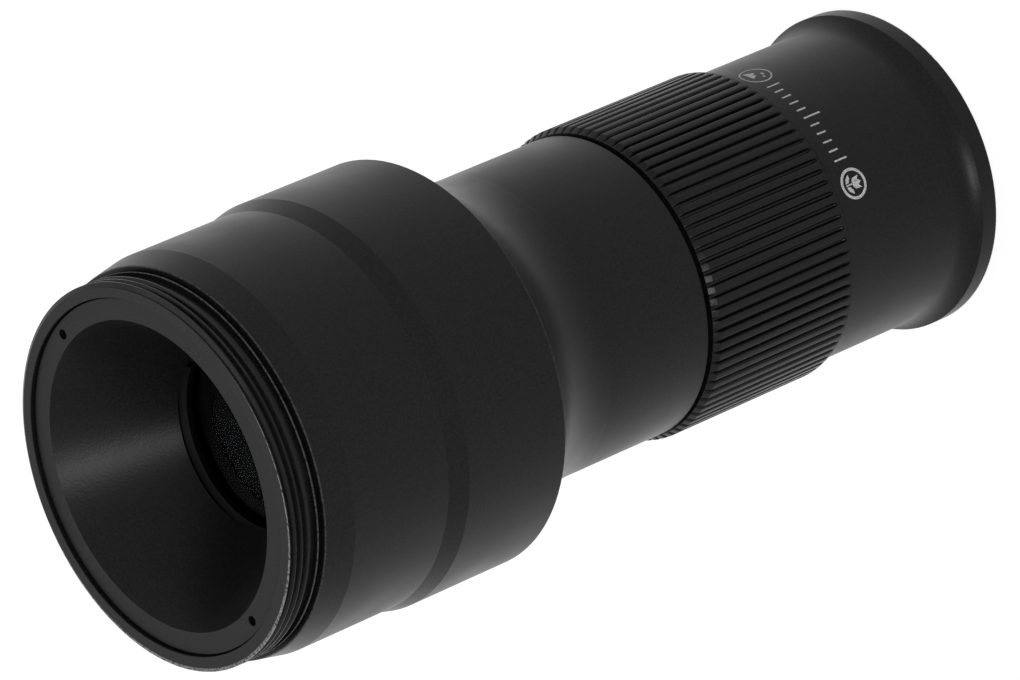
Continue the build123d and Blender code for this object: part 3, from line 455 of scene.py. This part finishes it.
# The cut turns and the ring's body are joined by the flat faces at the two cuts
band = bmesh.new()
band.from_mesh(thread_mesh)
for z, outward in ((RIM_Z, 1), (THREAD_Z, -1)):
    bmesh.ops.bisect_plane(band, geom=band.verts[:] + band.edges[:] + band.faces[:], dist=1e-7,
                           plane_co=(0, 0, z * MM), plane_no=(0, 0, outward), clear_outer=True)
band.from_mesh(mount_mesh)
bmesh.ops.remove_doubles(band, verts=band.verts, dist=1e-6)
for z in (RIM_Z, THREAD_Z):
    cut_edges = [e for e in band.edges if e.is_boundary and all(abs(v.co.z - z * MM) < 2e-6 for v in e.verts)]
    bmesh.ops.bridge_loops(band, edges=cut_edges)
band.to_mesh(mount_mesh)
band.free()
threaded_ring = solid_piece(mount_mesh, "mount_ring_threaded", 25)
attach(threaded_ring, "housing")
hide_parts("mount_ring")

# Front tube: a copy of its solid with the trumpet drawn tighter. The wide arc and its
# angle are the solid's, and the tight arc reaches the same radius sooner
FLARE_Z, FLARE_R, FLARE_ARC, FLARE_TURN = 4.5, 14.85, 5.8, radians(35.5)
TIGHT_ARC = 3.5
tight_turn = acos(1 - FLARE_ARC / TIGHT_ARC * (1 - cos(FLARE_TURN)))

tube_mesh = nodes["front_tube"].data.copy()
tube = bmesh.new()
tube.from_mesh(tube_mesh)
bmesh.ops.remove_doubles(tube, verts=tube.verts, dist=1e-6)
for vert in tube.verts:
    r, z = vert.co.xy.length / MM, vert.co.z / MM
    turned_by = asin(min(1.0, max(0.0, (FLARE_Z - z) / FLARE_ARC)))
    on_arc = FLARE_R + FLARE_ARC * (1 - cos(turned_by))
    if 0 < turned_by < FLARE_TURN + radians(0.5) and abs(r - on_arc) < 0.02:
        tight = turned_by * tight_turn / FLARE_TURN
        new_r = FLARE_R + TIGHT_ARC * (1 - cos(tight))
        vert.co.xy *= new_r / r
        vert.co.z = (FLARE_Z - TIGHT_ARC * sin(tight)) * MM
tube.to_mesh(tube_mesh)
tube.free()
front_tube = solid_piece(tube_mesh, "front_tube_flared")
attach(front_tube, "housing")
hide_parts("front_tube")


# Printed scale: eleven ticks every 4 degrees, between a landscape and a flower, which
# stand for far and near. It is on the front tube, so it stays while the ring turns
TUBE_R = 14.85
INK = 0.012
TICKS, TICK_STEP, TICK_WIDTH, TICK_FOOT_Z = 11, radians(4), 0.17, 17.2
SHORT_TICK, END_TICK, MIDDLE_TICK = 1.12, 1.6, 2.1
SCALE_MIDDLE = radians(-90)
ICON_Z = 16.2

tree, given = node_tree("tick_row", {
    "Start": "Geometry", "Ticks": "Int", "Step": "Float", "Middle Angle": "Float", "Radius": "Float",
    "Foot Height": "Float", "Width": "Float", "Ink": "Float", "Short Length": "Float",
    "End Length": "Float", "Middle Length": "Float", "Material": "Material"})
line = add(tree, "GeometryNodeMeshLine", {"Count": given["Ticks"]})
index = add(tree, "GeometryNodeInputIndex")
half = add(tree, MATH, [add(tree, MATH, [given["Ticks"], 1], operation="SUBTRACT"), 0.5], operation="MULTIPLY")
from_middle = add(tree, MATH, [index, half], operation="SUBTRACT")
is_middle = add(tree, MATH, [from_middle, 0.0, 0.1], operation="COMPARE")
steps_out = add(tree, MATH, [from_middle], operation="ABSOLUTE")
is_end = add(tree, MATH, [steps_out, half, 0.1], operation="COMPARE")
middle_more = add(tree, MATH, [given["Middle Length"], given["Short Length"]], operation="SUBTRACT")
end_more = add(tree, MATH, [given["End Length"], given["Short Length"]], operation="SUBTRACT")
with_middle = add(tree, MATH, [is_middle, middle_more, given["Short Length"]], operation="MULTIPLY_ADD")
length = add(tree, MATH, [is_end, end_more, with_middle], operation="MULTIPLY_ADD")
angle = add(tree, MATH, [from_middle, given["Step"], given["Middle Angle"]], operation="MULTIPLY_ADD")
across = add(tree, MATH, [given["Radius"], add(tree, MATH, [angle], operation="COSINE")], operation="MULTIPLY")
along = add(tree, MATH, [given["Radius"], add(tree, MATH, [angle], operation="SINE")], operation="MULTIPLY")
height = add(tree, MATH, [length, -0.5, given["Foot Height"]], operation="MULTIPLY_ADD")
placed = add(tree, "GeometryNodeSetPosition",
             {"Geometry": line, "Position": add(tree, JOIN_XYZ, [across, along, height])})
bar = add(tree, "GeometryNodeMeshCube", {"Size": (1, 1, 1)})
ticks = add(tree, "GeometryNodeInstanceOnPoints",
            {"Points": placed, "Instance": bar,
             "Scale": add(tree, JOIN_XYZ, [given["Ink"], given["Width"], length]),
             "Rotation": add(tree, JOIN_XYZ, [0.0, 0.0, angle])})
real = add(tree, "GeometryNodeRealizeInstances", [ticks])
dressed = add(tree, "GeometryNodeSetMaterial", {"Geometry": real, "Material": given["Material"]})
add(tree, "NodeGroupOutput", [dressed])

tick_mesh = made_by(tree, outline_mesh("tick_start", [(0, 0, 0), (0, 0, 1)], False),
                    {"Ticks": TICKS, "Step": TICK_STEP, "Middle Angle": SCALE_MIDDLE, "Radius": TUBE_R * MM,
                     "Foot Height": TICK_FOOT_Z * MM, "Width": TICK_WIDTH * MM, "Ink": 2 * INK * MM,
                     "Short Length": SHORT_TICK * MM, "End Length": END_TICK * MM,
                     "Middle Length": MIDDLE_TICK * MM, "Material": white_ink}, "scale_ticks")
scale_ticks = solid_piece(tick_mesh, "scale_ticks")
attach(scale_ticks, "housing")


def circle(radius, across=0.0, up=0.0, squash=1.0, steps=40):
    turns = [2 * pi * i / steps for i in range(steps)]
    return [(across + radius * cos(a), up + squash * radius * sin(a)) for a in turns]


def printed_icon(name, outlines, middle_deg, middle_z):
    """Flat closed outlines in mm, filled where they don't overlap and wrapped onto
    the tube. Their top points to the front rim."""
    flat = bpy.data.curves.new(name, "CURVE")
    flat.dimensions = "2D"
    flat.fill_mode = "BOTH"
    flat.extrude = INK
    for outline in outlines:
        line = flat.splines.new("POLY")
        line.points.add(len(outline) - 1)
        line.use_cyclic_u = True
        for point, (across, up) in zip(line.points, outline):
            point.co = (across, up, 0, 1)
    drawn = bpy.data.objects.new(name + "_flat", flat)
    bpy.context.scene.collection.objects.link(drawn)
    mesh = bpy.data.meshes.new_from_object(drawn.evaluated_get(bpy.context.evaluated_depsgraph_get()))
    bpy.data.objects.remove(drawn)
    shell = bmesh.new()
    shell.from_mesh(mesh)
    bmesh.ops.remove_doubles(shell, verts=shell.verts, dist=1e-4)
    for _ in range(3):
        bmesh.ops.triangulate(shell, faces=shell.faces)
        long_edges = [e for e in shell.edges if e.calc_length() > 0.45]
        bmesh.ops.subdivide_edges(shell, edges=long_edges, cuts=1)
    bmesh.ops.triangulate(shell, faces=shell.faces)
    for vert in shell.verts:
        across, up, rise = vert.co
        turn_by = radians(middle_deg) - across / TUBE_R
        radius = TUBE_R + rise
        vert.co = Vector((radius * cos(turn_by), radius * sin(turn_by), middle_z - up)) * MM
    shell.to_mesh(mesh)
    shell.free()
    mesh.name = name
    mesh.materials.clear()
    mesh.materials.append(white_ink)
    icon = solid_piece(mesh, name)
    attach(icon, "housing")


hills = [(-1.05, -0.72), (-0.45, 0.3), (-0.12, -0.2), (0.1, 0.02), (0.55, -0.72)]
clouds = [circle(0.24, 0.2, 0.72, 0.55, 16), circle(0.2, 0.75, 0.42, 0.55, 16)]
petals = [(-0.55, 0.1), (-0.6, 0.85), (-0.28, 0.55), (0, 0.95), (0.28, 0.55), (0.6, 0.85), (0.55, 0.1),
          (0.3, -0.15), (-0.3, -0.15)]
stem = [(-0.07, -0.2), (0.07, -0.2), (0.07, -0.98), (-0.07, -0.98)]
leaf = [(0.16, -0.95), (0.62, -0.78), (0.95, -0.3), (0.6, -0.28), (0.2, -0.55)]
other_leaf = [(-x, y) for x, y in leaf[::-1]]
printed_icon("far_icon", [circle(1.6), circle(1.46), hills] + clouds, -60, ICON_Z)
printed_icon("near_icon", [circle(1.54), circle(1.26), petals, stem, leaf, other_leaf], -120, ICON_Z)


# Camera: the photograph's, fitted to it. Where the lens's axis meets the eye end in
# camera space (x right, y down, z forward), the axis direction towards the front,
# the turn of the scale round it, and the focal length in pixels of the 1020 x 680 frame
EYE_END = Vector((-31.82, 12.35, 752.6)) * MM
EYE_END_Z = 92.63 * MM
AXIS = Vector((0.7288, -0.3142, 0.6085)).normalized()
SCALE_TURN = radians(-28)
FOCAL_PX, FRAME_WIDTH_PX = 8356, 1020
SENSOR_MM = 36.0

side = AXIS.cross(Vector((0, 0, 1))).normalized()
up = AXIS.cross(side)
x_seen = cos(SCALE_TURN) * side + sin(SCALE_TURN) * up
y_seen = cos(SCALE_TURN - pi / 2) * side + sin(SCALE_TURN - pi / 2) * up
origin_seen = EYE_END + EYE_END_Z * AXIS
model_to_camera = Matrix((x_seen, y_seen, -AXIS)).transposed()
to_blender = Matrix(((1, 0, 0), (0, -1, 0), (0, 0, -1)))
turn = (to_blender @ model_to_camera).inverted()
camera = bpy.data.objects.new("camera", bpy.data.cameras.new("camera"))
camera.matrix_world = Matrix.Translation(-(turn @ (to_blender @ origin_seen))) @ turn.to_4x4()
camera.data.sensor_width = SENSOR_MM
camera.data.lens = FOCAL_PX * SENSOR_MM / FRAME_WIDTH_PX
camera.data.clip_end = 20.0
bpy.context.scene.collection.objects.link(camera)
bpy.context.scene.camera = camera


# Floor and light

def seen_directly(tree):
    """1 for camera, glossy and transmission rays, and 0 for the light that falls on things."""
    path = add(tree, "ShaderNodeLightPath").outputs
    first = add(tree, MATH, [path["Is Camera Ray"], path["Is Glossy Ray"]], operation="MAXIMUM")
    return add(tree, MATH, [first, path["Is Transmission Ray"]], operation="MAXIMUM")


WHITE = (1, 1, 1, 1)
WORLD_LIGHT = 0.45
FLOOR_GLOW = 0.86

world = bpy.data.worlds.new("white_tent")
bpy.context.scene.world = world
world.use_nodes = True
tree = world.node_tree
tree.nodes.clear()
strength = add(tree, RANGE, {"Value": seen_directly(tree), "To Min": WORLD_LIGHT, "To Max": 1.0})
sky = add(tree, "ShaderNodeBackground", {"Color": WHITE, "Strength": strength})
add(tree, "ShaderNodeOutputWorld", {"Surface": sky})

# The floor lies a hair under the rim, so that the two faces don't flicker into each other
FLOOR_HALF, FLOOR_Z = 3, -0.02 * MM
floor_mesh = bpy.data.meshes.new("floor")
corners = [(x * FLOOR_HALF, y * FLOOR_HALF, FLOOR_Z) for x, y in ((-1, -1), (1, -1), (1, 1), (-1, 1))]
floor_mesh.from_pydata(corners, [], [(0, 1, 2, 3)])
floor = bpy.data.objects.new("floor", floor_mesh)
bpy.context.scene.collection.objects.link(floor)
floor_white, tree, place = finish("white_paper_sweep")
paper = add(tree, "ShaderNodeBsdfDiffuse", {"Color": linear("#8e8e8e")})
lit = add(tree, MATH, [seen_directly(tree), FLOOR_GLOW], operation="MULTIPLY")
glow = add(tree, "ShaderNodeEmission", {"Color": WHITE, "Strength": lit})
add(tree, "ShaderNodeOutputMaterial", {"Surface": add(tree, "ShaderNodeAddShader", [paper, glow])})
floor_mesh.materials.append(floor_white)


def softbox(name, place, aim, size, power):
    """A square area lamp aimed at a point, all in metres and watts."""
    light = bpy.data.lights.new(name, "AREA")
    light.shape = "SQUARE"
    light.size = size
    light.energy = power
    lamp = bpy.data.objects.new(name, light)
    lamp.location = place
    lamp.rotation_euler = (Vector(aim) - Vector(place)).to_track_quat("-Z", "Y").to_euler()
    bpy.context.scene.collection.objects.link(lamp)


# The key stands beside the camera, where the streak in the cone and the gleam on the
# flare put it. The fill is a large soft light from above
MIDDLE = (0, 0, 0.05)
softbox("softbox_key", (-0.95, -0.63, 0.68), MIDDLE, 0.28, 6)
softbox("softbox_fill", (0.5, 0.3, 1.4), MIDDLE, 1.2, 8)

bpy.context.scene.view_settings.view_transform = "Standard"
